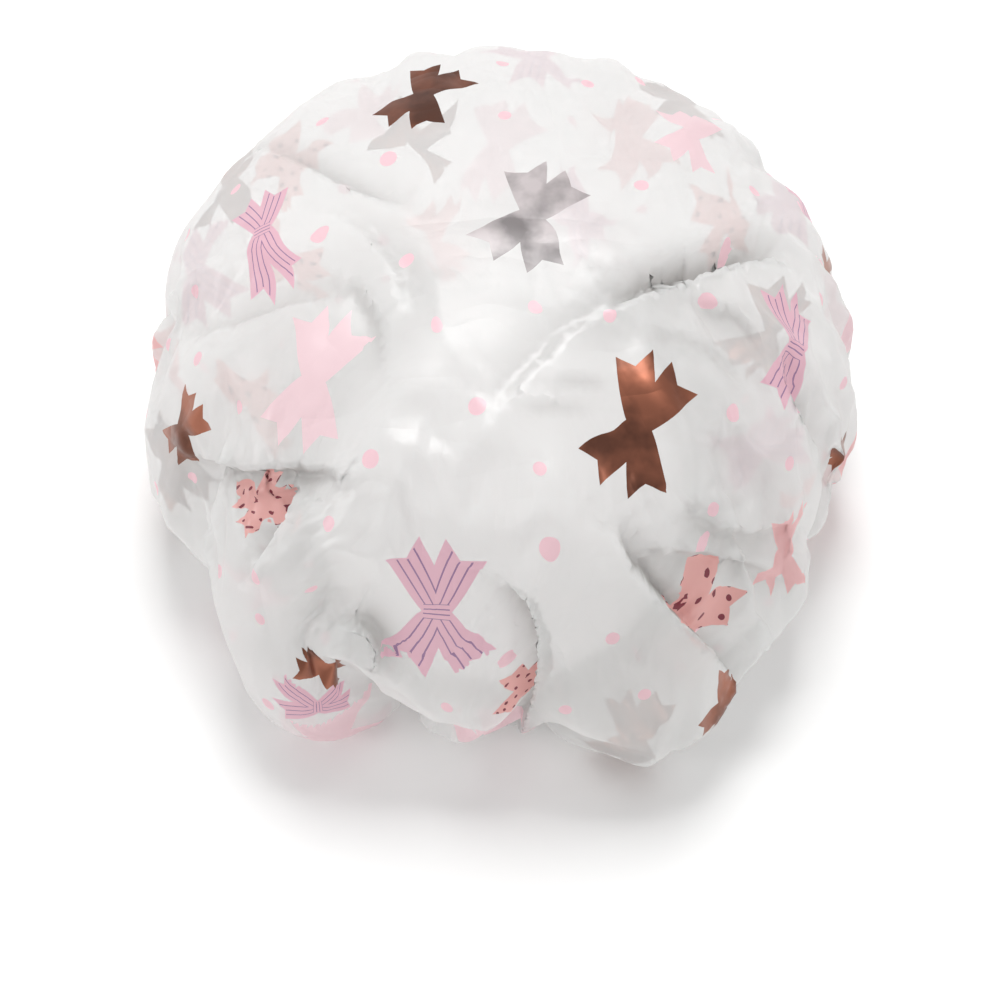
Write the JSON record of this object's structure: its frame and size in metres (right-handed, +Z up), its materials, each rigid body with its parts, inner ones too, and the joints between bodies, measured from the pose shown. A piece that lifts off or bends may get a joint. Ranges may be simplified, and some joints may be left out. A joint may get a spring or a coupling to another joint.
{
  "type": "shower cap",
  "caption": "Gathered bonnet of thin frosted film that covers the hair, held round the head by an elastic sewn into its turned hem, printed with bows and dots.",
  "frame": {"origin": "centre of the head opening, level with the middle of the elastic", "axes": "+Z up through the crown, +Y towards the forehead, +X to the side, on the right seen from the nape"},
  "size_m": [0.2692, 0.2731, 0.1594],
  "materials": {
    "film": "frosted, milky, satin film",
    "elastic": "woven over rubber, matt white",
    "thread": "spun white thread"
  },
  "bodies": {
    "root": {"cap_film": "film", "elastic_band": "elastic", "elastic_join_thread": "thread", "hem_needle_thread": "thread", "hem_bobbin_thread": "thread"}
  },
  "joints": []
}
